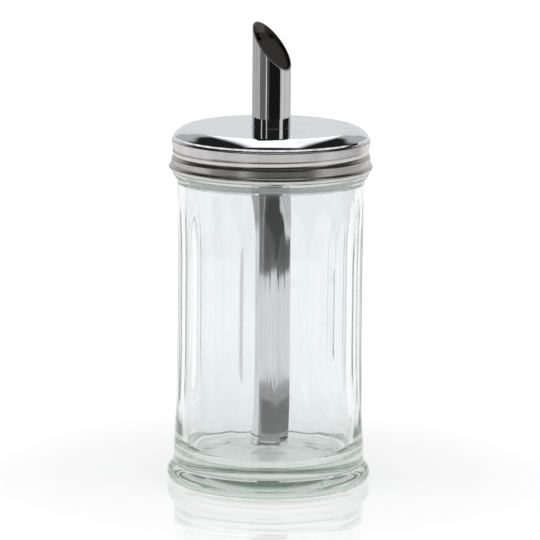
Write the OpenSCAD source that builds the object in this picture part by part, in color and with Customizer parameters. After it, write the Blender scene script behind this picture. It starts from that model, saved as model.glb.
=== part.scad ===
// Sugar dispenser: a fluted pressed-glass jar with a formed steel screw cap.
// A steel tube reaches from just above the glass floor up through the cap, and
// its slanted mouth holds a small flap that swings on a wire pin.
// Origin: centre of the foot, on the table. +Z is up, and the low side of the
// mouth points along +X.

/* [Glass jar] */
// Height of the glass, from the table to the top of its lip
jar_h = 130.9; // [110:0.1:160]
// Diameter of the jar over the ridges between its flutes
jar_d = 69.2; // [66:0.1:71]
// Thickness of the wall behind the middle of a flute
wall = 2.4; // [1.8:0.1:3.2]
// Height of the inside floor above the table
floor_h = 10; // [8:0.5:14]
// Radius of the inside corner between floor and wall
floor_r = 5; // [3:0.5:8]
// How far the foot ring stands out past the body
foot_out = 3.15; // [2.8:0.05:3.6]
// Height of the foot ring at its widest
foot_z = 3.4; // [3:0.1:4.2]
// Radius of the upper half of the foot ring
foot_r = 4.35; // [4:0.05:5]
// Width of the flat that the jar stands on
stand_w = 3.5; // [2:0.5:5]
// Rise of the hollow under the foot
push_up = 2.4; // [1:0.1:3]
// How far the plain band above the foot ring stands out past the body
heel_out = 0.8; // [0.2:0.1:1.2]
// Height at which the plain band starts to draw in
heel_z = 15; // [12:0.5:18]
// Height at which the body reaches its full fluted diameter
body_z = 24; // [22:0.5:28]

/* [Flutes] */
// Number of flutes round the jar
flute_n = 18; // [12:1:24]
// Depth of a flute below the chord between its two ridges
flute_hollow = 0.4; // [0.25:0.05:0.7]
// Width of the flat ridge between two flutes
flute_land = 0.3; // [0.1:0.1:0.8]
// Radius of the run-out at the two ends of a flute
flute_end_r = 20; // [12:1:24]
// Height of the middle of the lower arches above the table
flute_z = 26; // [25:0.5:32]
// Plain height from the middle of the upper arches to the neck bead
flute_top = 10; // [8:0.5:16]

/* [Neck] */
// Thickness of the glass at the neck
neck_wall = 3.2; // [2.6:0.1:3.6]
// Outer rounding of the lip
lip_r = 2; // [1.2:0.1:2.2]
// Height of the bead under the cap
bead_h = 4; // [3:0.1:5]
// How far the bead stays inside the cap's rim
bead_in = 1.1; // [0.8:0.1:1.6]
// Room between the neck and the cap's groove, for the thread
neck_gap = 1; // [0.8:0.1:1.4]
// Gap between the cap's rim and the bead
rim_gap = 0.4; // [0.2:0.1:0.8]

/* [Screw cap] */
// How far the cap's curled rim stands out past the jar's body
cap_out = 3; // [2.6:0.1:3.8]
// Height of the cap, from its rim to its flat top
cap_h = 15.9; // [14.5:0.1:19]
// Thickness of the steel sheet
sheet = 0.4; // [0.3:0.05:0.6]
// Radius of the rounded shoulder
shoulder_r = 7.7; // [6.5:0.1:8.5]
// How far the foot of the shoulder lies inside the rim
crease_in = 1.8; // [1.5:0.1:2]
// Depth of the foot of the shoulder below the flat top
crease_drop = 3.2; // [2.9:0.1:3.5]
// How far the side's upper edge lies inside the rim
side_in = 1; // [0.8:0.1:1.2]
// Height of the short wall between the shoulder and the side's upper edge
step_h = 1.2; // [0.9:0.1:1.5]
// How far the bottom of the groove lies inside the rim
groove_in = 1.8; // [1.5:0.1:2.2]
// Depth of the groove's middle below the flat top
groove_drop = 9.9; // [9.4:0.1:10.4]
// Height of the groove
groove_h = 2; // [1.6:0.1:2.4]
// How far the band below the groove lies inside the rim
band_in = 0.9; // [0.8:0.05:1.1]
// Radius of the curled rim
curl_r = 1.1; // [0.9:0.05:1.2]

/* [Seal] */
// Thickness of the sealing ring
seal_t = 1.5; // [1:0.1:2]
// Width of the sealing ring
seal_w = 4.4; // [3:0.1:5]
// Gap between the ring and the glass lip
seat_gap = 0.1; // [0.05:0.05:0.3]

/* [Pour tube] */
// Outside diameter of the tube
tube_d = 14.3; // [12:0.1:16]
// Wall of the tube
tube_wall = 0.5; // [0.4:0.05:0.7]
// Height of the tip above the flat top of the cap
spout_h = 38.4; // [30:0.1:50]
// Slant of the mouth from the horizontal, in degrees
spout_angle = 50; // [45:1:58]
// Gap between the tube and the glass floor
floor_gap = 2.2; // [1:0.1:6]
// Width of the inlet slot near the lower end
inlet_w = 4.2; // [2:0.1:6]
// Height of the inlet slot
inlet_h = 1.4; // [0.8:0.1:3]
// Height of the slot's lower edge above the end of the tube
inlet_z = 3; // [2:0.5:8]

/* [Collar] */
// Radius of the collar's flange under the cap
collar_r = 11; // [10:0.1:14]
// Length of the collar's sleeve
collar_h = 5; // [3:0.5:8]
// Thickness of the collar
collar_t = 0.6; // [0.4:0.1:0.9]

/* [Flap] */
// Thickness of the flap
flap_t = 0.4; // [0.3:0.05:0.5]
// Depth of the flap's face below the plane of the mouth
flap_recess = 0.6; // [0.5:0.05:0.9]
// Radius of the hinge pin
pin_r = 0.5; // [0.4:0.05:0.55]
// Running clearance round the pin in the rolled eye
pin_gap = 0.05; // [0.03:0.01:0.08]
// Distance from the pin's axis to the inside wall behind it
pin_in = 2.1; // [1.9:0.1:2.4]
// Half width of the rolled eye
eye_half = 2.6; // [2:0.1:2.8]
// Side clearance between the flap and the tube
flap_gap = 0.25; // [0.2:0.05:0.4]
// Extra clearance at the free end, which swings past the wall
flap_free = 0.6; // [0.5:0.05:0.8]
// Width of the ledge that the free end rests on
stop_w = 1.9; // [1.7:0.1:2.2]
// Thickness of the ledge
stop_t = 0.5; // [0.4:0.05:0.7]
// Gap between the closed flap and its ledge
stop_gap = 0.1; // [0.05:0.05:0.2]

/* [Hidden] */

$fn = 96;
arc_n = 10;
fit = 0.05;
cut = 1;
far = 60;

// Radii of the cap's outline
cap_r = jar_d / 2 + cap_out;
crease_r = cap_r - crease_in;
side_r = cap_r - side_in;
groove_r = cap_r - groove_in;
band_r = cap_r - band_in;

// Heights of the cap, stacked on the glass lip
seal_z = jar_h + seat_gap;
under_z = seal_z + seal_t + seat_gap;
cap_z = under_z + sheet;
rim_z = cap_z - cap_h;
groove_z = cap_z - groove_drop;
side_z = cap_z - crease_drop - step_h;
curl_z = rim_z + curl_r;
curl_c = cap_r - curl_r;

// Shoulder: an arc that ends at the short wall above the side
flat_r = crease_r - sqrt(pow(shoulder_r, 2) - pow(shoulder_r - crease_drop, 2));
shoulder_z = cap_z - shoulder_r;
shoulder_end = asin((shoulder_r - crease_drop) / shoulder_r);

// Jar
jar_r = jar_d / 2;
foot_edge = jar_r + foot_out;
foot_turn = 60;
heel_r = jar_r + heel_out;
stand_out = foot_edge - foot_z;
stand_in = stand_out - stand_w;
neck_r = groove_r - sheet - neck_gap;
neck_in = neck_r - neck_wall;
bead_r = cap_r - bead_in;
bead_z = rim_z - rim_gap;
bead_low = bead_z - bead_h;
flute_beta = 180 / flute_n;
flute_w = jar_r * sin(flute_beta) - flute_land / 2;
flute_chord = sqrt(pow(jar_r, 2) - pow(flute_w, 2));
flute_cut = (pow(flute_w, 2) + pow(flute_hollow, 2)) / (2 * flute_hollow);
flute_at = flute_chord - flute_hollow + flute_cut;
flute_high = bead_low - flute_top;
jar_in = flute_chord - flute_hollow - wall;
run_n = 3;
run_h = sqrt(2 * flute_end_r * (jar_r - flute_chord + flute_hollow)) + cut;
function run_in(i) = flute_end_r - sqrt(pow(flute_end_r, 2) - pow(run_h * i / run_n, 2));

// Tube and mouth. The plane of the mouth crosses the axis at mouth_z.
tube_r = tube_d / 2;
bore_r = tube_r - tube_wall;
tube_z = floor_h + floor_gap;
tip_z = cap_z + spout_h;
mouth_z = tip_z - tube_r * tan(spout_angle);

// Flap. Its frame has its origin on the pin: x runs down the slope of the mouth
// and z out of it. The flap's face lies face_up above the pin's axis.
eye_r = pin_r + pin_gap + flap_t;
face_up = eye_r - fit;
pin_x = pin_in - bore_r;
pin_drop = flap_recess + face_up;
pin_z = mouth_z - pin_x * tan(spout_angle) - pin_drop / cos(spout_angle);
low_x = bore_r - pin_x;
low_z = pin_z - mouth_z + bore_r * tan(spout_angle);
swing_r = sqrt(pow(low_x, 2) + pow(low_z, 2)) - flap_gap;
flap_r = bore_r - flap_gap;

// Points of an arc about [r, z]
function arc(r, z, radius, from, to) =
    [for (i = [0:arc_n]) let (a = from + (to - from) * i / arc_n)
        [r + radius * cos(a), z + radius * sin(a)]];

// Half section of the glass from outside: foot ring, heel, body, bead, neck, lip
function glass_outside() = concat(
    [[0, push_up], [stand_in * 0.6, push_up * 0.72], [stand_in, 0]],
    arc(stand_out, foot_z, foot_z, -90, 0),
    arc(foot_edge - foot_r, foot_z, foot_r, 0, foot_turn),
    [[heel_r, foot_z + foot_r + 0.4], [heel_r, heel_z], [jar_r, body_z],
     [jar_r, bead_low],
     [jar_r + (bead_r - jar_r) * 0.6, bead_low + bead_h * 0.45],
     [bead_r, bead_z - bead_h * 0.2], [bead_r, bead_z - bead_h * 0.1],
     [bead_r - bead_h * 0.1, bead_z], [neck_r, bead_z]],
    arc(neck_r - lip_r, jar_h - lip_r, lip_r, 0, 90));

function glass_inside() = concat(
    [[0, floor_h]],
    arc(jar_in - floor_r, floor_h + floor_r, floor_r, -90, 0),
    [[jar_in, bead_low], [neck_in, bead_z], [neck_in, jar_h + cut],
     [0, jar_h + cut]]);

// One flute's cutter: the near side of a tall cylinder whose ends draw away from
// the glass along the run-out circle, in run_n straight steps
module flute_cutter() {
    deepest = flute_at - flute_cut;
    intersection() {
        translate([flute_at, 0, 0]) rotate_extrude() polygon(concat(
            [[0, flute_z - run_h]],
            [for (i = [run_n:-1:0])
                [flute_cut - run_in(i), flute_z - run_h * i / run_n]],
            [for (i = [0:run_n])
                [flute_cut - run_in(i), flute_high + run_h * i / run_n]],
            [[0, flute_high + run_h]]));
        translate([deepest - cut, -flute_w - fit, flute_z - run_h - cut])
            cube([foot_edge - deepest, 2 * (flute_w + fit),
                  flute_high - flute_z + 2 * (run_h + cut)]);
    }
}

module glass_jar() {
    color([0.87, 0.93, 0.91, 0.4])
    difference() {
        rotate_extrude() polygon(concat(glass_outside(), [[0, jar_h]]));
        rotate_extrude() polygon(glass_inside());
        for (i = [0:flute_n - 1])
            rotate(i * 360 / flute_n) flute_cutter();
    }
}

// Half section of the cap, drawn in by t all over: 0 outside, sheet inside
function cap_outline(t) = concat(
    [[0, rim_z + curl_r], [band_r - t, rim_z + curl_r],
     [band_r - t, groove_z - groove_h / 2]],
    [[groove_r - t + 0.15, groove_z - groove_h / 4], [groove_r - t, groove_z],
     [groove_r - t + 0.15, groove_z + groove_h / 4]],
    [[(side_r + groove_r) / 2 + 0.2 - t, groove_z + groove_h / 2 + 0.6],
     [side_r - t, side_z - t], [crease_r - t, side_z - t]],
    arc(flat_r, shoulder_z, shoulder_r - t, shoulder_end, 90),
    [[0, cap_z - t]]);

module curl_section() {
    translate([curl_c, curl_z])
    difference() {
        circle(r = curl_r, $fn = 48);
        circle(r = curl_r - sheet, $fn = 48);
        translate([-curl_r, -sheet]) square([curl_r - sheet, sheet]);
    }
}

module screw_cap() {
    color([0.78, 0.79, 0.8])
    difference() {
        rotate_extrude() {
            difference() {
                polygon(cap_outline(0));
                polygon(cap_outline(sheet));
                translate([0, rim_z]) square([curl_c, curl_r + cut / 2]);
            }
            curl_section();
        }
        translate([0, 0, under_z - cut])
            cylinder(r = tube_r + fit, h = sheet + 2 * cut);
    }
}

// Ring of soft plastic, shaped by the underside of the shoulder
module cap_seal() {
    seal_out = neck_r - lip_r * 0.4;
    color([0.93, 0.93, 0.9])
    rotate_extrude()
        intersection() {
            translate([seal_out - seal_w, seal_z]) square([seal_w, seal_t]);
            union() {
                translate([0, seal_z]) square([flat_r, seal_t]);
                translate([flat_r, shoulder_z])
                    circle(r = shoulder_r - sheet - fit, $fn = 128);
            }
        }
}

// Everything below the plane of the mouth, lowered square to it by drop
module below_mouth(drop) {
    translate([0, 0, mouth_z])
        rotate([0, spout_angle, 0])
            translate([-far, -far, -2 * far - drop])
                cube([2 * far, 2 * far, 2 * far]);
}

module pour_tube() {
    color([0.72, 0.73, 0.75])
    difference() {
        intersection() {
            translate([0, 0, tube_z]) cylinder(r = tube_r, h = tip_z - tube_z);
            union() {
                below_mouth(0);
                cylinder(r = tube_r + cut, h = cap_z);
            }
        }
        translate([0, 0, tube_z - cut])
            cylinder(r = bore_r, h = tip_z - tube_z + 2 * cut);
        translate([pin_x, 0, pin_z]) rotate([90, 0, 0])
            cylinder(r = pin_r + fit / 2, h = 2 * tube_r, center = true, $fn = 32);
        translate([0, -inlet_w / 2, tube_z + inlet_z])
            cube([tube_r + cut, inlet_w, inlet_h]);
    }
}

// Flanged ring that holds the tube square under the cap
module tube_collar() {
    color([0.66, 0.67, 0.69])
    translate([0, 0, under_z - fit - collar_h])
    difference() {
        union() {
            cylinder(r = tube_r + fit + collar_t, h = collar_h);
            translate([0, 0, collar_h - collar_t])
                cylinder(r = collar_r, h = collar_t);
        }
        translate([0, 0, -cut])
            cylinder(r = tube_r + fit, h = collar_h + 2 * cut);
    }
}

// Places its children in the flap's frame: origin on the pin's axis, x down the
// slope towards the free end, z square out of the mouth
module in_flap_frame() {
    translate([pin_x, 0, pin_z]) rotate([0, spout_angle, 0]) children();
}

module flap() {
    color([0.6, 0.61, 0.63])
    difference() {
        union() {
            intersection() {
                in_flap_frame()
                    translate([0, -bore_r, face_up - flap_t])
                        cube([2 * swing_r, 2 * bore_r, flap_t]);
                translate([0, 0, pin_z - far]) cylinder(r = flap_r, h = 2 * far);
                translate([-flap_free, 0, pin_z - far])
                    cylinder(r = flap_r, h = 2 * far);
                translate([pin_x, 0, pin_z]) rotate([90, 0, 0])
                    cylinder(r = swing_r, h = 2 * far, center = true);
                union() {
                    in_flap_frame()
                        translate([0, -eye_half, 0]) cube([far, 2 * eye_half, far]);
                    in_flap_frame()
                        translate([2 * eye_r, -far, 0]) cube([far, 2 * far, far]);
                }
            }
            translate([pin_x, 0, pin_z]) rotate([90, 0, 0])
                cylinder(r = eye_r, h = 2 * eye_half, center = true, $fn = 48);
        }
        translate([pin_x, 0, pin_z]) rotate([90, 0, 0])
            cylinder(r = pin_r + pin_gap, h = 2 * tube_r, center = true, $fn = 32);
    }
}

// Wire pin, dressed flush with the outside of the tube
module flap_pin() {
    color([0.7, 0.71, 0.73])
    intersection() {
        translate([pin_x, 0, pin_z]) rotate([90, 0, 0])
            cylinder(r = pin_r, h = 2 * tube_r, center = true, $fn = 32);
        translate([0, 0, pin_z - far]) cylinder(r = tube_r, h = 2 * far);
    }
}

// Crescent ledge inside the low side of the mouth
module flap_stop() {
    color([0.62, 0.63, 0.65])
    difference() {
        intersection() {
            in_flap_frame()
                translate([0, -bore_r, face_up - flap_t - stop_gap - stop_t])
                    cube([far, 2 * bore_r, stop_t]);
            translate([0, 0, pin_z - far])
                cylinder(r = bore_r - fit / 2, h = 2 * far);
        }
        translate([-stop_w, 0, pin_z - far]) cylinder(r = bore_r, h = 2 * far);
    }
}

glass_jar();
screw_cap();
cap_seal();
pour_tube();
tube_collar();
flap();
flap_pin();
flap_stop();
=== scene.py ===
from math import atan2, cos, hypot, pi, radians, sin, sqrt

import bmesh
import bpy
from mathutils import Matrix, Vector


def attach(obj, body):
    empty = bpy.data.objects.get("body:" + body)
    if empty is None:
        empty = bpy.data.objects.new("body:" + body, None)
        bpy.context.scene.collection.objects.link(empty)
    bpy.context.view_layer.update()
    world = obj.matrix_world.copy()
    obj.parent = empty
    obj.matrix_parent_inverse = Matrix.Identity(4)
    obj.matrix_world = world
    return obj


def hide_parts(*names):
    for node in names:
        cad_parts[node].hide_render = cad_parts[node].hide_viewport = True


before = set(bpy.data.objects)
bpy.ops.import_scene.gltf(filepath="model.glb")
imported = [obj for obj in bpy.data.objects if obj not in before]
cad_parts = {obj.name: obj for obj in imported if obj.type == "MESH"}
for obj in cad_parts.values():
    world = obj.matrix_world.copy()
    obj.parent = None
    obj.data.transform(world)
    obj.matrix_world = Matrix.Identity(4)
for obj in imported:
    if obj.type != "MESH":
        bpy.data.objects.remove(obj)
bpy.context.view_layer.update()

# Glass jar: pressed, fire-polished soda-lime glass, with eighteen hollow flutes round the
# body, a thick foot ring below them and a bead under the cap. The neck carries the thread.
MM = 0.001
FRONT = radians(-54)

# Radii and heights are in millimetres
FOOT_RADIUS = 37.75
BODY_RADIUS = 34.6
NECK_RADIUS = 34.4
LIP_HEIGHT = 130.9
BODY_BORE = 31.3
NECK_BORE = 31.2

# Each flute is the cut of a round tool that stands beside the jar. Between its two heights
# the tool is straight, and beyond them its side curves away, so that the cut runs out.
FLUTES = 18
FLUTE_ANGLE = 2 * pi / FLUTES
TOOL_CENTRE = 76.8
TOOL_RADIUS = 43.3
FLUTE_LOW = 57.0
FLUTE_HIGH = 79.0
RUNOUT_RADIUS = 388.0
NO_CUT = 99.0
RIDGE_ROUNDING = 0.6
RIDGE_GATHERING = 0.7

THREAD_MIDDLE = 124.9
THREAD_PITCH = 3.4
THREAD_RISE = 0.85
THREAD_HALF_WIDTH = 1.15
THREAD_REACH = radians(215)
THREAD_FADE = radians(20)


def outline(corners, closed=False, steps=8):
    """Half section as a wire in the XZ plane, from corners of (radius, height, rounding) in mm."""
    bm = bmesh.new()
    points = [Vector((r, 0, z)) * MM for r, z, rounding in corners]
    first = last = None
    for number, (r, z, rounding) in enumerate(corners):
        here = points[number]
        if rounding:
            back = (points[number - 1] - here).normalized()
            ahead = (points[(number + 1) % len(points)] - here).normalized()
            half = back.angle(ahead) / 2
            start = bm.verts.new(here + back * rounding * MM)
            centre = here + (back + ahead).normalized() * rounding * MM / cos(half)
            made = bmesh.ops.spin(bm, geom=[start], cent=centre, axis=ahead.cross(back),
                                  angle=pi - 2 * half, steps=steps)
            end = [v for v in made["geom_last"] if isinstance(v, bmesh.types.BMVert)][0]
        else:
            start = end = bm.verts.new(here)
        if last:
            bm.edges.new((last, start))
        first = first or start
        last = end
    if closed:
        bm.edges.new((last, first))
    return bm


def cut_finer(bm, low, high, inner, outer, length):
    """Cuts the wires between two heights and two radii into short lengths, all in mm."""
    chosen = [e for e in bm.edges
              if all(low - 0.01 < v.co.z / MM < high + 0.01 for v in e.verts)
              and all(inner < hypot(v.co.x, v.co.y) / MM < outer for v in e.verts)]
    for edge in chosen:
        cuts = int(edge.calc_length() / MM / length)
        if cuts:
            bmesh.ops.subdivide_edges(bm, edges=[edge], cuts=cuts)


def turn(bm, parts, steps):
    """Spins a wire through one part of a turn about the Z axis and lays copies side by side."""
    share = 2 * pi / parts
    bmesh.ops.spin(bm, geom=bm.verts[:] + bm.edges[:], cent=(0, 0, 0), axis=(0, 0, 1),
                   angle=share, steps=steps)
    sector = bm.verts[:] + bm.edges[:] + bm.faces[:]
    for number in range(1, parts):
        copy = bmesh.ops.duplicate(bm, geom=sector)["geom"]
        bmesh.ops.rotate(bm, cent=(0, 0, 0), matrix=Matrix.Rotation(share * number, 3, "Z"),
                         verts=[v for v in copy if isinstance(v, bmesh.types.BMVert)])
    bmesh.ops.remove_doubles(bm, verts=bm.verts, dist=1e-6)
    bmesh.ops.recalc_face_normals(bm, faces=bm.faces)


def make_piece(name, bm, material, body, slot, *nodes):
    """Turns a bmesh into a smooth piece that rides on a body and stands for CAD nodes."""
    mesh = bpy.data.meshes.new(name)
    bm.to_mesh(mesh)
    bm.free()
    mesh.shade_smooth()
    mesh.materials.append(material)
    piece = bpy.data.objects.new(name, mesh)
    bpy.context.scene.collection.objects.link(piece)
    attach(piece, body)
    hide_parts(*nodes)


def place_on_wall(vert, angle, radius):
    """Moves a point of a round wall to this angle and radius in mm, at its own height."""
    vert.co.x = radius * MM * cos(angle)
    vert.co.y = radius * MM * sin(angle)


def smooth_step(value):
    value = min(max(value, 0.0), 1.0)
    return value * value * (3 - 2 * value)


def from_hollow(angle):
    """Angle from the middle of the nearest flute."""
    return (angle + FLUTE_ANGLE / 2) % FLUTE_ANGLE - FLUTE_ANGLE / 2


def flute_radius(angle, height):
    """Radius of the hollow of a flute at this angle and height, in mm."""
    off = from_hollow(angle)
    past = max(FLUTE_LOW - height, height - FLUTE_HIGH, 0)
    if past >= RUNOUT_RADIUS:
        return NO_CUT
    tool = TOOL_RADIUS - RUNOUT_RADIUS + sqrt(RUNOUT_RADIUS ** 2 - past ** 2)
    side = TOOL_CENTRE * sin(off)
    if abs(side) >= tool:
        return NO_CUT
    return TOOL_CENTRE * cos(off) - sqrt(tool ** 2 - side ** 2)


def softer_min(first, second, rounding):
    """The smaller of two radii, rounded over where they meet."""
    share = min(max(0.5 + 0.5 * (second - first) / rounding, 0.0), 1.0)
    return second + (first - second) * share - rounding * share * (1 - share)


def helix(angle, height, middle, pitch, reach, above, below, fade):
    """From 0 to 1: how far a thread rises at a point of the wall."""
    best = 0.0
    for lap in (-1, 0, 1):
        along = (angle - FRONT + pi) % (2 * pi) - pi + 2 * pi * lap
        if abs(along) < reach:
            off = height - middle - pitch * along / (2 * pi)
            off = abs(off / above if off > 0 else off / below)
            if off < 1:
                end = smooth_step((reach - abs(along)) / fade)
                best = max(best, end * (0.5 + 0.5 * cos(pi * off)))
    return best


jar = outline([
    (0, 2.4, 0), (18.5, 1.75, 8), (30.6, 0, 0.6), (FOOT_RADIUS, 0, 3.39),
    (FOOT_RADIUS, 5.91, 2.5), (35.4, 7.27, 0.9), (35.4, 15, 4), (BODY_RADIUS, 24, 4),
    (BODY_RADIUS, 54, 0), (BODY_RADIUS, 80, 0), (BODY_RADIUS, 110, 0),
    (BODY_RADIUS, 113.3, 1.6), (36.5, 115.9, 0.7), (36.5, 116.7, 0.2),
    (NECK_RADIUS, 116.7, 0.3), (NECK_RADIUS, 128.6, 0), (NECK_RADIUS, LIP_HEIGHT, 2),
    (NECK_BORE, LIP_HEIGHT, 0.8), (NECK_BORE, 116.7, 1), (BODY_BORE, 112.7, 1),
    (BODY_BORE, 10, 7), (0, 10, 0)])
# Rows on the plain inside, at the flutes' two ends and on the neck, finest for the thread
cut_finer(jar, 10, 113, 31, 32, 8)
cut_finer(jar, 15, 54, 34, 36, 1.5)
cut_finer(jar, 80, 110, 34, 36, 0.8)
cut_finer(jar, 116.8, 128.7, 34, 35, 0.33)
turn(jar, FLUTES, 22)
for vert in jar.verts:
    radius = hypot(vert.co.x, vert.co.y) / MM
    height = vert.co.z / MM
    if radius < 1:
        continue
    # The columns gather at the ridges, which are sharper than the hollows
    angle = atan2(vert.co.y, vert.co.x)
    off = from_hollow(angle) / (FLUTE_ANGLE / 2)
    angle += RIDGE_GATHERING / pi * sin(pi * off) * FLUTE_ANGLE / 2
    if radius > 33.8 and 8 < height < 112.6:
        radius = softer_min(radius, flute_radius(angle, height), RIDGE_ROUNDING)
    if abs(radius - NECK_RADIUS) < 0.02 and 117 < height < 128.7:
        radius += THREAD_RISE * helix(angle, height, THREAD_MIDDLE, THREAD_PITCH, THREAD_REACH,
                                      THREAD_HALF_WIDTH, THREAD_HALF_WIDTH, THREAD_FADE)
    place_on_wall(vert, angle, radius)


def add(tree, kind, **settings):
    """A new shader node with its settings."""
    made = tree.nodes.new("ShaderNode" + kind)
    for name, given in settings.items():
        setattr(made, name, given)
    return made


def feed(tree, socket, given):
    """Links a socket, or sets a number or colour, on an input."""
    if isinstance(given, bpy.types.NodeSocket):
        tree.links.new(given, socket)
    else:
        socket.default_value = given


def work_out(tree, operation, first, second=0.0, third=0.0):
    """A Math node on sockets or numbers."""
    made = add(tree, "Math", operation=operation)
    for socket, given in zip(made.inputs, (first, second, third)):
        feed(tree, socket, given)
    return made.outputs[0]


def times(tree, first, second):
    return work_out(tree, "MULTIPLY", first, second)


def scaled(tree, given, factor, start):
    """A value times a factor, added to a start."""
    return work_out(tree, "MULTIPLY_ADD", given, factor, start)


def spread(tree, given, low, high, to_low, to_high):
    """A smooth change from one value to another as what is given goes from low to high."""
    made = add(tree, "MapRange", interpolation_type="SMOOTHSTEP")
    feed(tree, made.inputs["Value"], given)
    for name, number in (("From Min", low), ("From Max", high),
                         ("To Min", to_low), ("To Max", to_high)):
        made.inputs[name].default_value = number
    return made.outputs["Result"]


def noise(tree, vector, scale, detail=2.0, roughness=0.5):
    made = add(tree, "TexNoise")
    feed(tree, made.inputs["Vector"], vector)
    made.inputs["Scale"].default_value = scale
    made.inputs["Detail"].default_value = detail
    made.inputs["Roughness"].default_value = roughness
    return made.outputs["Fac"]


def blend_colour(tree, share, first, second):
    made = add(tree, "Mix", data_type="RGBA")
    feed(tree, made.inputs["Factor"], share)
    feed(tree, made.inputs[6], first)
    feed(tree, made.inputs[7], second)
    return made.outputs[2]


def start_material(name):
    """A material with its Principled shader and the Object coordinates."""
    material = bpy.data.materials.new(name)
    material.use_nodes = True
    tree = material.node_tree
    shader = tree.nodes["Principled BSDF"]
    place = add(tree, "TexCoord").outputs["Object"]
    return material, tree, shader, place


def bump(tree, shader, height, strength, distance):
    made = add(tree, "Bump")
    made.inputs["Strength"].default_value = strength
    made.inputs["Distance"].default_value = distance
    feed(tree, made.inputs["Height"], height)
    tree.links.new(made.outputs["Normal"], shader.inputs["Normal"])


GLASS_DULLER = (0.905, 0.922, 0.926, 1)
GLASS_CLEARER = (0.918, 0.934, 0.938, 1)
GLASS_FOR_SHADOWS = (0.95, 0.965, 0.96, 1)
GLASS_FOR_DEEP_RAYS = (0.75, 0.775, 0.755, 1)
GLASS_IRON = (0.90, 0.925, 0.905, 1)
SEAM_TURN = radians(10)
SEAM_HALF_WIDTH = 0.00022

glass, tree, shader, place = start_material("pressed_glass")
shader.inputs["Metallic"].default_value = 0.0
shader.inputs["IOR"].default_value = 1.5
shader.inputs["Transmission Weight"].default_value = 1.0
feed(tree, shader.inputs["Base Color"],
     blend_colour(tree, noise(tree, place, 35), GLASS_DULLER, GLASS_CLEARER))
feed(tree, shader.inputs["Roughness"], spread(tree, noise(tree, place, 90, 3), 0.45, 0.8, 0, 0.03))
# Fire polish leaves slow ripples, and the mould's two halves a fine seam on two ridges
turned = add(tree, "VectorRotate", rotation_type="Z_AXIS")
feed(tree, turned.inputs["Vector"], place)
turned.inputs["Angle"].default_value = SEAM_TURN
across = add(tree, "SeparateXYZ")
feed(tree, across.inputs[0], turned.outputs[0])
seam = spread(tree, work_out(tree, "ABSOLUTE", across.outputs["Y"]), 0, SEAM_HALF_WIDTH, 0.4, 0)
ripple = noise(tree, place, 55, 1)
bump(tree, shader, work_out(tree, "ADD", ripple, seam), 0.12, 0.0006)
# A ray that has crossed many walls is let through with a grey tint, so that it doesn't end
# black, and shadows and soft light pass as they do through clear glass
path = add(tree, "LightPath")
deep = work_out(tree, "MAXIMUM", work_out(tree, "GREATER_THAN", path.outputs["Ray Depth"], 8.5),
                work_out(tree, "GREATER_THAN", path.outputs["Glossy Depth"], 3.5))
soft_light = work_out(tree, "MAXIMUM", path.outputs["Is Shadow Ray"],
                      path.outputs["Is Diffuse Ray"])
clear = add(tree, "BsdfTransparent")
feed(tree, clear.inputs["Color"],
     blend_colour(tree, deep, GLASS_FOR_SHADOWS, GLASS_FOR_DEEP_RAYS))
lets_through = add(tree, "MixShader")
feed(tree, lets_through.inputs[0], work_out(tree, "MAXIMUM", soft_light, deep))
feed(tree, lets_through.inputs[1], shader.outputs[0])
feed(tree, lets_through.inputs[2], clear.outputs[0])
feed(tree, tree.nodes["Material Output"].inputs["Surface"], lets_through.outputs[0])
# The iron in the glass shows green only where it is thick
tinted = add(tree, "VolumeAbsorption")
tinted.inputs["Color"].default_value = GLASS_IRON
tinted.inputs["Density"].default_value = 40
feed(tree, tree.nodes["Material Output"].inputs["Volume"], tinted.outputs[0])
make_piece("glass_body", jar, glass, "jar", "jar_glass", "glass_jar")

# Seal: soft ring of moulded polyethylene that lies in the cap and is pressed on the glass
# lip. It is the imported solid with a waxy, slightly mottled white skin.
SEAL_SHADED = (0.80, 0.80, 0.76, 1)
SEAL_WHITE = (0.88, 0.88, 0.85, 1)


def dress_node(name, material):
    """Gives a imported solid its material."""
    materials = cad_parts[name].data.materials
    materials.clear()
    materials.append(material)


plastic, tree, shader, place = start_material("waxy_polyethylene")
feed(tree, shader.inputs["Base Color"],
     blend_colour(tree, noise(tree, place, 400, 3), SEAL_SHADED, SEAL_WHITE))
feed(tree, shader.inputs["Roughness"], spread(tree, noise(tree, place, 900, 2), 0, 1, 0.42, 0.6))
shader.inputs["Subsurface Weight"].default_value = 0.15
shader.inputs["Subsurface Radius"].default_value = (0.001, 0.001, 0.001)
bump(tree, shader, noise(tree, place, 1500, 2), 0.3, 0.00005)
dress_node("cap_seal", plastic)

# Screw cap: drawn from 0.4 mm stainless sheet, with a polished top and shoulder, a satin
# side, a thread groove rolled round it from outside, and a rim curled outwards.
CAP_TOP = 133.0
CAP_UNDER = 132.6
TUBE_HOLE = 7.25
CURL_RADIUS = 37.6
CURL_BORE = 35.42
CURL_FOOT = 117.1
GROOVE_MIDDLE = 123.1
GROOVE_PITCH = 2.0
GROOVE_DEPTH = 0.55
GROOVE_ABOVE = 1.6
GROOVE_BELOW = 1.3
GROOVE_REACH = radians(200)
GROOVE_FADE = radians(24)

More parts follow.
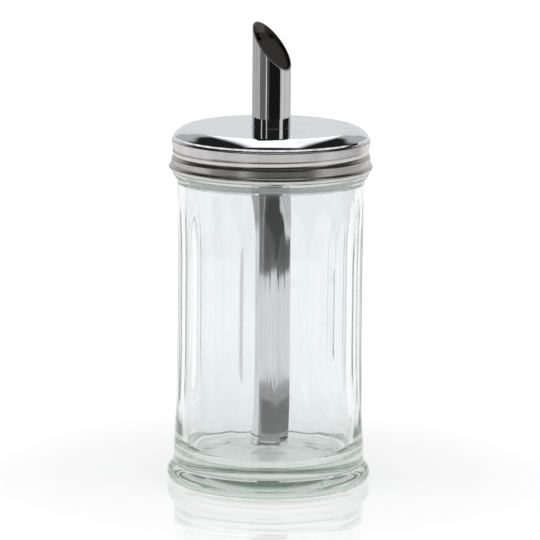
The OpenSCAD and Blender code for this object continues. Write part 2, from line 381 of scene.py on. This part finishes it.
cap = outline([
    (TUBE_HOLE, CAP_UNDER, 0.12), (TUBE_HOLE, CAP_TOP, 0.15), (33.473, CAP_TOP, 3.92),
    (35.82, 129.76, 0.06), (35.72, 128.95, 0.12), (36.5, 128.64, 0.12), (36.66, 128.3, 0.14),
    (36.22, 124.7, 0.8), (36.68, 122.4, 0.8), (36.68, 119.9, 0), (36.7, 119.3, 0.1),
    (CURL_RADIUS, 119.3, 0.84), (CURL_RADIUS, CURL_FOOT, 1.09), (CURL_BORE, CURL_FOOT, 1.07),
    (CURL_BORE, 119.2, 0.8), (36.28, 119.5, 0.15), (36.28, 119.9, 0), (36.28, 122.4, 0.8),
    (35.82, 124.7, 0.8), (36.24, 128.15, 0.2), (35.4, 128.5, 0.1), (35.42, 129.64, 0.06),
    (33.27, CAP_UNDER, 3.6)], closed=True, steps=14)
cut_finer(cap, 119.9, 128.2, 35.7, 37, 0.17)
cut_finer(cap, 132.5, 133.1, 7.3, 33, 4)
turn(cap, 18, 14)
for vert in cap.verts:
    radius = hypot(vert.co.x, vert.co.y) / MM
    height = vert.co.z / MM
    if radius > 35.6 and 119.95 < height < 127.25:
        angle = atan2(vert.co.y, vert.co.x)
        radius -= GROOVE_DEPTH * helix(angle, height, GROOVE_MIDDLE, GROOVE_PITCH, GROOVE_REACH,
                                       GROOVE_ABOVE, GROOVE_BELOW, GROOVE_FADE)
        place_on_wall(vert, angle, radius)


def socket(group, name, kind, output=False, default=None):
    made = group.interface.new_socket(name, in_out="OUTPUT" if output else "INPUT",
                                      socket_type="NodeSocket" + kind)
    if default is not None:
        made.default_value = default


# Turned lines: a fine grain that runs round the Z axis, as a lathe's polishing pad leaves it
turned_lines = bpy.data.node_groups.new("turned_lines", "ShaderNodeTree")
socket(turned_lines, "Place", "Vector")
socket(turned_lines, "Lines per metre", "Float", default=9000.0)
socket(turned_lines, "Run", "Float", default=3.0)
socket(turned_lines, "Grain", "Float", output=True)
inside = turned_lines.nodes.new("NodeGroupInput")
outside = turned_lines.nodes.new("NodeGroupOutput")
split = add(turned_lines, "SeparateXYZ")
feed(turned_lines, split.inputs[0], inside.outputs["Place"])
squares = work_out(turned_lines, "ADD",
                   times(turned_lines, split.outputs["X"], split.outputs["X"]),
                   times(turned_lines, split.outputs["Y"], split.outputs["Y"]))
radius = work_out(turned_lines, "SQRT", squares)
angle = work_out(turned_lines, "ARCTAN2", split.outputs["Y"], split.outputs["X"])
joined = add(turned_lines, "CombineXYZ")
feed(turned_lines, joined.inputs[0],
     times(turned_lines, radius, inside.outputs["Lines per metre"]))
feed(turned_lines, joined.inputs[1], times(turned_lines, angle, inside.outputs["Run"]))
feed(turned_lines, joined.inputs[2],
     times(turned_lines, split.outputs["Z"], inside.outputs["Lines per metre"]))
grain = noise(turned_lines, joined.outputs[0], 1.0, 3, 0.6)
feed(turned_lines, outside.inputs["Grain"], grain)

# Handling marks: faint smudges and a few hairline scratches, from 0 for clean to 1
marks = bpy.data.node_groups.new("handling_marks", "ShaderNodeTree")
socket(marks, "Place", "Vector")
socket(marks, "Smudges", "Float", output=True)
socket(marks, "Scratches", "Float", output=True)
inside = marks.nodes.new("NodeGroupInput")
outside = marks.nodes.new("NodeGroupOutput")
soft = noise(marks, inside.outputs["Place"], 140, 4, 0.55)
feed(marks, outside.inputs["Smudges"], spread(marks, soft, 0.48, 0.8, 0, 1))
cells = add(marks, "TexWave", wave_type="BANDS", bands_direction="DIAGONAL")
feed(marks, cells.inputs["Vector"], inside.outputs["Place"])
cells.inputs["Scale"].default_value = 60
cells.inputs["Distortion"].default_value = 9
cells.inputs["Detail"].default_value = 3
lines = spread(marks, cells.outputs["Fac"], 0.965, 1.0, 0, 1)
few = spread(marks, noise(marks, inside.outputs["Place"], 220, 1), 0.56, 0.66, 0, 1)
feed(marks, outside.inputs["Scratches"], times(marks, lines, few))


def use_group(tree, group, place, **values):
    made = add(tree, "Group", node_tree=group)
    feed(tree, made.inputs["Place"], place)
    for name, given in values.items():
        made.inputs[name.replace("_", " ")].default_value = given
    return made


CAP_POLISHED = (0.75, 0.765, 0.80, 1)
CAP_SATIN = (0.66, 0.65, 0.64, 1)
CAP_SMUDGED = (0.55, 0.55, 0.55, 1)
CAP_LACQUER = (0.93, 0.93, 0.92, 1)
CAP_MIDDLE = (0, 0, 0.12)
SATIN_TOP = 0.12855
POLISH_START = 0.12875

cap_steel, tree, shader, place = start_material("cap_steel_sheet")
# The inside, which faces the middle of the cap, keeps a matt pale lacquer
local_normal = add(tree, "VectorTransform", vector_type="NORMAL", convert_from="WORLD",
                   convert_to="OBJECT")
feed(tree, local_normal.inputs[0], add(tree, "NewGeometry").outputs["True Normal"])
from_middle = add(tree, "VectorMath", operation="SUBTRACT")
feed(tree, from_middle.inputs[0], place)
from_middle.inputs[1].default_value = CAP_MIDDLE
facing = add(tree, "VectorMath", operation="DOT_PRODUCT")
feed(tree, facing.inputs[0], local_normal.outputs[0])
feed(tree, facing.inputs[1], from_middle.outputs[0])
lacquer = work_out(tree, "LESS_THAN", facing.outputs["Value"], 0.0)
feed(tree, shader.inputs["Metallic"], work_out(tree, "SUBTRACT", 1.0, lacquer))
grain = use_group(tree, turned_lines, place, Lines_per_metre=14000.0, Run=2.0).outputs["Grain"]
wear = use_group(tree, marks, place)
split = add(tree, "SeparateXYZ")
feed(tree, split.inputs[0], place)
satin = spread(tree, split.outputs["Z"], SATIN_TOP, POLISH_START, 1, 0)
outer_colour = blend_colour(tree, times(tree, wear.outputs["Smudges"], 0.5),
                            blend_colour(tree, satin, CAP_POLISHED, CAP_SATIN), CAP_SMUDGED)
feed(tree, shader.inputs["Base Color"], blend_colour(tree, lacquer, outer_colour, CAP_LACQUER))
# Roughness starts at the polish and grows with satin, smudges, scratches and lacquer
rough = scaled(tree, satin, 0.22, 0.035)
rough = scaled(tree, wear.outputs["Smudges"], 0.02, rough)
rough = scaled(tree, wear.outputs["Scratches"], 0.03, rough)
rough = scaled(tree, lacquer, 0.4, rough)
feed(tree, shader.inputs["Roughness"], rough)
bump(tree, shader, times(tree, grain, scaled(tree, satin, 0.9, 0.1)), 0.25, 0.00004)
make_piece("cap_sheet", cap, cap_steel, "cap", "cap_steel", "screw_cap")

# Pour tube: welded stainless tube, drawn and polished along its length. It is cut square at
# the bottom, with an inlet slot near it, and ground at a slant for the mouth.
TUBE_RADIUS = 7.15
TUBE_WALL = 0.5
TUBE_FOOT = 12.2
TUBE_BLANK = 175
SLOT_LOW = 15.2
SLOT_HIGH = 16.6
SLOT_HALF_WIDTH = 2.1
MOUTH_HEIGHT = 162.879
MOUTH_SLANT = radians(50)
RIM_ROUNDING = 0.09

# Rows at 12.6 and 17.2 mm keep the long sides straight in the light next to foot and slot
tube_bore = TUBE_RADIUS - TUBE_WALL
tube = outline([
    (TUBE_RADIUS, TUBE_FOOT, 0), (TUBE_RADIUS, 12.6, 0), (TUBE_RADIUS, 17.2, 0),
    (TUBE_RADIUS, TUBE_BLANK, 0), (tube_bore, TUBE_BLANK, 0), (tube_bore, 17.2, 0),
    (tube_bore, 12.6, 0), (tube_bore, TUBE_FOOT, 0)], closed=True)
turn(tube, 16, 10)
mouth_normal = Vector((sin(MOUTH_SLANT), 0, cos(MOUTH_SLANT)))
bmesh.ops.bisect_plane(tube, geom=tube.verts[:] + tube.edges[:] + tube.faces[:], dist=1e-7,
                       plane_co=(0, 0, MOUTH_HEIGHT * MM), plane_no=mouth_normal,
                       clear_outer=True)
bmesh.ops.bridge_loops(tube, edges=[e for e in tube.edges if len(e.link_faces) == 1])
# A row close below the rim does the same there
bmesh.ops.bisect_plane(tube, geom=tube.verts[:] + tube.edges[:] + tube.faces[:], dist=1e-7,
                       plane_co=(0, 0, (MOUTH_HEIGHT - 0.5) * MM), plane_no=mouth_normal)
# The slot's four sides are cut into the low side's wall, inside and outside
for cut_at, direction in (((0, -SLOT_HALF_WIDTH, 0), (0, 1, 0)),
                          ((0, SLOT_HALF_WIDTH, 0), (0, 1, 0)),
                          ((0, 0, SLOT_LOW), (0, 0, 1)), ((0, 0, SLOT_HIGH), (0, 0, 1))):
    near = [f for f in tube.faces if f.calc_center_median().x > 0
            and max(v.co.z for v in f.verts) > 12.5 * MM
            and min(v.co.z for v in f.verts) < 17 * MM
            and abs(f.calc_center_median().y) < 3 * MM]
    around = set(near)
    for face in near:
        around.update(face.verts)
        around.update(face.edges)
    bmesh.ops.bisect_plane(tube, geom=list(around), dist=1e-7,
                           plane_co=[c * MM for c in cut_at], plane_no=direction)
slot_faces = []
for face in tube.faces:
    middle = face.calc_center_median() / MM
    if middle.x > 0 and abs(middle.y) < SLOT_HALF_WIDTH and SLOT_LOW < middle.z < SLOT_HIGH:
        slot_faces.append(face)
bmesh.ops.delete(tube, geom=slot_faces, context="FACES")
bmesh.ops.bridge_loops(tube, edges=[e for e in tube.edges if len(e.link_faces) == 1])
bmesh.ops.recalc_face_normals(tube, faces=tube.faces)
rims = [e for e in tube.edges if len(e.link_faces) == 2
        and e.link_faces[0].normal.angle(e.link_faces[1].normal) > radians(30)]
bmesh.ops.bevel(tube, geom=rims, offset=RIM_ROUNDING * MM, offset_type="OFFSET", segments=3,
                profile=0.5, affect="EDGES", material=-1, clamp_overlap=True)

TUBE_POLISHED = (0.76, 0.755, 0.755, 1)
TUBE_SMUDGED = (0.69, 0.685, 0.685, 1)
BORE_PAINTED_SHADE = (0.16, 0.15, 0.14, 1)

tube_steel, tree, shader, place = start_material("tube_steel_drawn")
shader.inputs["Metallic"].default_value = 1.0
wear = use_group(tree, marks, place)
# Drawing leaves fine lines along the tube
stretch = add(tree, "Mapping")
stretch.inputs["Scale"].default_value = (9000, 9000, 120)
feed(tree, stretch.inputs["Vector"], place)
drawn = noise(tree, stretch.outputs[0], 1.0, 2)
# The bore is painted near black, as painted shade for the inside of the tube, and it is left dull
split = add(tree, "SeparateXYZ")
feed(tree, split.inputs[0], place)
flat_place = add(tree, "CombineXYZ")
feed(tree, flat_place.inputs[0], split.outputs["X"])
feed(tree, flat_place.inputs[1], split.outputs["Y"])
from_axis = add(tree, "VectorMath", operation="LENGTH")
feed(tree, from_axis.inputs[0], flat_place.outputs[0])
bore = spread(tree, from_axis.outputs["Value"], 0.0067, 0.0069, 1, 0)
outer_colour = blend_colour(tree, wear.outputs["Smudges"], TUBE_POLISHED, TUBE_SMUDGED)
# Painted shade: the bore's colour is near black for the shade inside the tube
feed(tree, shader.inputs["Base Color"], blend_colour(tree, bore, outer_colour, BORE_PAINTED_SHADE))
rough = scaled(tree, wear.outputs["Smudges"], 0.03, 0.05)
feed(tree, shader.inputs["Roughness"], scaled(tree, bore, 0.3, rough))
bump(tree, shader, drawn, 0.12, 0.00003)
make_piece("tube_shell", tube, tube_steel, "cap", "tube_steel", "pour_tube")

# Collar: flanged ring pressed from the same steel, which holds the tube square under the
# cap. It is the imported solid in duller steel, since it is never polished.
COLLAR_DULL = (0.52, 0.52, 0.53, 1)
COLLAR_SMUDGED = (0.44, 0.44, 0.44, 1)

dull_steel, tree, shader, place = start_material("collar_steel")
shader.inputs["Metallic"].default_value = 1.0
wear = use_group(tree, marks, place)
grain = use_group(tree, turned_lines, place, Lines_per_metre=9000.0, Run=4.0).outputs["Grain"]
feed(tree, shader.inputs["Base Color"],
     blend_colour(tree, wear.outputs["Smudges"], COLLAR_DULL, COLLAR_SMUDGED))
feed(tree, shader.inputs["Roughness"], spread(tree, grain, 0.3, 0.7, 0.2, 0.32))
bump(tree, shader, grain, 0.2, 0.00004)
dress_node("tube_collar", dull_steel)

# Flap, its pin and its stop: small disc stamped from steel sheet, with one edge rolled round
# a wire pin, and the crescent ledge that it closes on. They are the imported solids in steel
# painted near black, as painted shade inside the tube's mouth, with smudges, and as dull as
# the bore round them.
FLAP_PAINTED_SHADE = (0.11, 0.105, 0.10, 1)
FLAP_SHADE_AND_SMUDGE = (0.08, 0.075, 0.07, 1)

flap_steel, tree, shader, place = start_material("flap_steel_sheet")
shader.inputs["Metallic"].default_value = 1.0
wear = use_group(tree, marks, place)
# Painted shade: the flap's colour is near black for the shade inside the tube's mouth, with
# smudges over it
feed(tree, shader.inputs["Base Color"],
     blend_colour(tree, wear.outputs["Smudges"], FLAP_PAINTED_SHADE, FLAP_SHADE_AND_SMUDGE))
feed(tree, shader.inputs["Roughness"], scaled(tree, wear.outputs["Smudges"], 0.08, 0.32))
bump(tree, shader, noise(tree, place, 2500, 2), 0.15, 0.00004)
for name in ("flap", "flap_pin", "flap_stop"):
    dress_node(name, flap_steel)

# Table: a glossy white sheet that mirrors the foot and keeps the jar's soft shadow. Further
# out it is matt, and it shows as white as the wall behind it.
TABLE_SIZE = 4
BELOW_THE_FOOT = -0.00003
TABLE_WHITE = (0.96, 0.96, 0.96, 1)
BLACK = (0, 0, 0, 1)

table_sheet = bmesh.new()
bmesh.ops.create_grid(table_sheet, x_segments=1, y_segments=1, size=TABLE_SIZE)
bmesh.ops.translate(table_sheet, verts=table_sheet.verts, vec=(0, 0, BELOW_THE_FOOT))
mesh = bpy.data.meshes.new("white_table")
table_sheet.to_mesh(mesh)
table_sheet.free()
table = bpy.data.objects.new("white_table", mesh)
bpy.context.scene.collection.objects.link(table)


def band(tree, given, low, high, edge):
    """1 between two values and 0 outside them, with soft edges."""
    rise = spread(tree, given, low - edge, low + edge, 0, 1)
    fall = spread(tree, given, high - edge, high + edge, 1, 0)
    return times(tree, rise, fall)


def highest(tree, *given):
    result = given[0]
    for other in given[1:]:
        result = work_out(tree, "MAXIMUM", result, other)
    return result


def seen_from_front(tree, vector):
    """X out of the front, Y to its right and Z up, with the angle to the right in degrees."""
    toward = add(tree, "VectorRotate", rotation_type="Z_AXIS")
    feed(tree, toward.inputs["Vector"], vector)
    toward.inputs["Angle"].default_value = -FRONT
    axes = add(tree, "SeparateXYZ")
    feed(tree, axes.inputs[0], toward.outputs[0])
    side = work_out(tree, "ARCTAN2", axes.outputs["Y"], axes.outputs["X"])
    return axes.outputs, times(tree, side, 180 / pi)


def seen_in_steel(tree, through_glass):
    """1 where a ray left polished steel, and through the jar's two walls if asked."""
    path = add(tree, "LightPath").outputs
    clear_way = work_out(tree, "LESS_THAN", path["Transmission Depth"], 0.5)
    if through_glass:
        beyond_walls = work_out(tree, "GREATER_THAN", path["Transmission Depth"], 3.5)
        clear_way = highest(tree, clear_way, beyond_walls)
    bounced = work_out(tree, "GREATER_THAN", path["Glossy Depth"], 0.5)
    bounced = work_out(tree, "SUBTRACT", bounced, path["Is Diffuse Ray"])
    return path, highest(tree, times(tree, bounced, clear_way), 0.0)


white, tree, shader, place = start_material("white_sheet")
axes, side = seen_from_front(tree, place)
reach = work_out(tree, "SQRT", work_out(tree, "ADD", times(tree, axes["X"], axes["X"]),
                                        times(tree, axes["Y"], axes["Y"])))
path, mirrored = seen_in_steel(tree, True)
in_jar = work_out(tree, "GREATER_THAN", path["Transmission Depth"], 0.5)

# What the steel mirrors in the table, in metres from the jar and degrees to the right of its
# front. The tube in the jar mirrors its grey near part with a darker patch, then white.
near = times(tree, spread(tree, reach, 0.165, 0.172, 1, 0), band(tree, side, -62, 150, 3))
near = times(tree, near, in_jar)
patch = times(tree, band(tree, reach, 0.05, 0.132, 0.006), band(tree, side, -38, 150, 3))
patch = times(tree, patch, in_jar)
stripes = add(tree, "CombineXYZ")
feed(tree, stripes.inputs[0], times(tree, side, 0.12))
stripes = spread(tree, noise(tree, stripes.outputs[0], 1.0, 2), 0.35, 0.65, 0.8, 1.2)
near_grey = times(tree, scaled(tree, near, -0.58, 0.98), stripes)
near_grey = times(tree, near_grey, scaled(tree, patch, -0.62, 1.0))

# Further out the room by the camera makes it dark in front, with two tongues that come
# closer, one light strip, and a grey part on the left
tongues = highest(tree, band(tree, side, -11, -3, 4), band(tree, side, 46, 54, 4))
past_light = scaled(tree, tongues, 0.05, reach)
front_dark = band(tree, side, -16, 54, 2)
left_grey = times(tree, band(tree, side, -75, -34, 2), 0.84)
light_strip = band(tree, side, -33, -29, 0.6)
beside_strip = work_out(tree, "SUBTRACT", band(tree, side, -34, -15, 1), light_strip)
dark = highest(tree, front_dark, left_grey, times(tree, beside_strip, 0.92))
dark = times(tree, dark, spread(tree, past_light, 0.44, 0.47, 0, 1))
right_dark = times(tree, band(tree, side, 45, 125, 4), band(tree, reach, 0.47, 0.68, 0.02))

# Only the tube above the cap mirrors the farthest part, which is greyer at both sides
far_sides = highest(tree, times(tree, band(tree, side, -181, -75, 3), 0.5),
                    times(tree, band(tree, side, 54, 181, 3), 0.33))
far_sides = times(tree, far_sides, spread(tree, reach, 0.73, 0.76, 0, 1))
dark = highest(tree, dark, right_dark, far_sides)
bright = times(tree, near_grey, work_out(tree, "SUBTRACT", 1.0, dark))
bright = work_out(tree, "MAXIMUM", bright, 0.01)

straight = work_out(tree, "SUBTRACT", 1.0, mirrored)
feed(tree, shader.inputs["Base Color"], blend_colour(tree, mirrored, TABLE_WHITE, BLACK))
shader.inputs["Roughness"].default_value = 0.5
shader.inputs["Specular IOR Level"].default_value = 0.0
shader.inputs["Coat IOR"].default_value = 3.0
shader.inputs["Coat Roughness"].default_value = 0.0
feed(tree, shader.inputs["Coat Weight"],
     times(tree, spread(tree, reach, 0.07, 0.17, 1, 0), straight))
# The table shows a little brighter than its light makes it, and more so further out
shown = work_out(tree, "MAXIMUM", path["Is Camera Ray"], path["Is Transmission Ray"])
shown = times(tree, times(tree, shown, straight), spread(tree, reach, 0.1, 1.2, 0.18, 0.34))
shader.inputs["Emission Color"].default_value = (1, 1, 1, 1)
feed(tree, shader.inputs["Emission Strength"],
     work_out(tree, "MULTIPLY_ADD", mirrored, bright, shown))
mesh.materials.append(white)

# Studio: a world that is plain white to the eye and to soft light. What polished steel
# mirrors of it is a white wall behind, softboxes and strips, and a dark room by the camera.
world = bpy.data.worlds.new("white_studio")
bpy.context.scene.world = world
world.use_nodes = True
tree = world.node_tree
tree.nodes.clear()
axes, side = seen_from_front(tree, add(tree, "TexCoord").outputs["Generated"])
height = times(tree, work_out(tree, "ARCSINE", axes["Z"]), 180 / pi)
away = work_out(tree, "ABSOLUTE", side)

# The softbox overhead is a rectangle on a level ceiling, at distances per metre of height
above = work_out(tree, "MAXIMUM", axes["Z"], 0.001)
overhead = times(tree, band(tree, work_out(tree, "DIVIDE", axes["X"], above), -2.2, 0.23, 0.05),
                 band(tree, work_out(tree, "DIVIDE", axes["Y"], above), -0.3, 0.4, 0.1))
overhead = times(tree, overhead, 1.7)
back_wall = times(tree, band(tree, away, 157, 190, 3), band(tree, height, -20, 28, 3))
wings = times(tree, spread(tree, away, 118, 138, 0, 0.62), band(tree, height, -20, 37, 4))
strips = highest(tree, band(tree, side, -63, -57, 1), band(tree, side, -31, -26, 1),
                 band(tree, side, 51, 72, 2))
strips = times(tree, strips, band(tree, height, -25, 24, 3))
studio = highest(tree, overhead, back_wall, wings, strips)
studio = scaled(tree, studio, 0.97, 0.02)


def blend_number(tree, share, first, second):
    made = add(tree, "Mix", data_type="FLOAT")
    feed(tree, made.inputs["Factor"], share)
    feed(tree, made.inputs[2], first)
    feed(tree, made.inputs[3], second)
    return made.outputs[0]


# Through glass the side by the camera is grey, which draws the edges of the jar
through = spread(tree, away, 75, 135, 0.25, 1.0)
path, mirrored = seen_in_steel(tree, False)
plain = blend_number(tree, path["Is Transmission Ray"],
                     scaled(tree, path["Is Diffuse Ray"], -0.2, 1.0), through)
background = add(tree, "Background")
feed(tree, background.inputs["Strength"], blend_number(tree, mirrored, plain, studio))
feed(tree, add(tree, "OutputWorld").inputs["Surface"], background.outputs[0])

# Lamps: three softboxes that aim at the jar's middle, in watts. The steel doesn't mirror
# them, because the studio has its own.
TO_CAMERA = Vector((sin(radians(36)), -cos(radians(36)), 0))
TO_RIGHT = Vector((cos(radians(36)), sin(radians(36)), 0))
JAR_MIDDLE = Vector((0, 0, 0.08))


def softbox(name, where, size, power):
    """An area lamp that looks at the jar's middle."""
    lamp = bpy.data.lights.new(name, "AREA")
    lamp.shape = "RECTANGLE"
    lamp.size, lamp.size_y = size
    lamp.energy = power
    lamp_object = bpy.data.objects.new(name, lamp)
    lamp_object.location = where
    aim = JAR_MIDDLE - lamp_object.location
    lamp_object.rotation_euler = aim.to_track_quat("-Z", "Y").to_euler()
    lamp_object.visible_glossy = False
    bpy.context.scene.collection.objects.link(lamp_object)


softbox("overhead_box", TO_CAMERA * 0.5 + Vector((0, 0, 1.5)), (1.4, 1.0), 6)
softbox("left_box", TO_RIGHT * -1.3 + Vector((0, 0, 0.7)), (0.8, 1.2), 3)
softbox("right_box", TO_RIGHT * 1.3 + Vector((0, 0, 0.7)), (0.8, 1.2), 3)

# Camera: a long lens some way above the jar, tipped down at it and leaning very slightly,
# as in the photograph.
CAMERA_DISTANCE = 1.75
CAMERA_HEIGHT = 0.396
TIP_DOWN = radians(10.26)
LEAN = radians(0.5)

lens = bpy.data.cameras.new("camera")
lens.sensor_width = 36
lens.lens = 320
lens.clip_start = 0.01
camera = bpy.data.objects.new("camera", lens)
forward = -TO_CAMERA * cos(TIP_DOWN) + Vector((0, 0, -sin(TIP_DOWN)))
level_up = TO_RIGHT.cross(forward)
right = TO_RIGHT * cos(LEAN) + level_up * sin(LEAN)
up = level_up * cos(LEAN) - TO_RIGHT * sin(LEAN)
stand = TO_CAMERA * CAMERA_DISTANCE + Vector((0, 0, CAMERA_HEIGHT))
turned_to_jar = Matrix((right, up, -forward)).transposed().to_4x4()
camera.matrix_world = Matrix.Translation(stand) @ turned_to_jar
bpy.context.scene.collection.objects.link(camera)
bpy.context.scene.camera = camera
bpy.context.scene.view_settings.view_transform = "Standard"
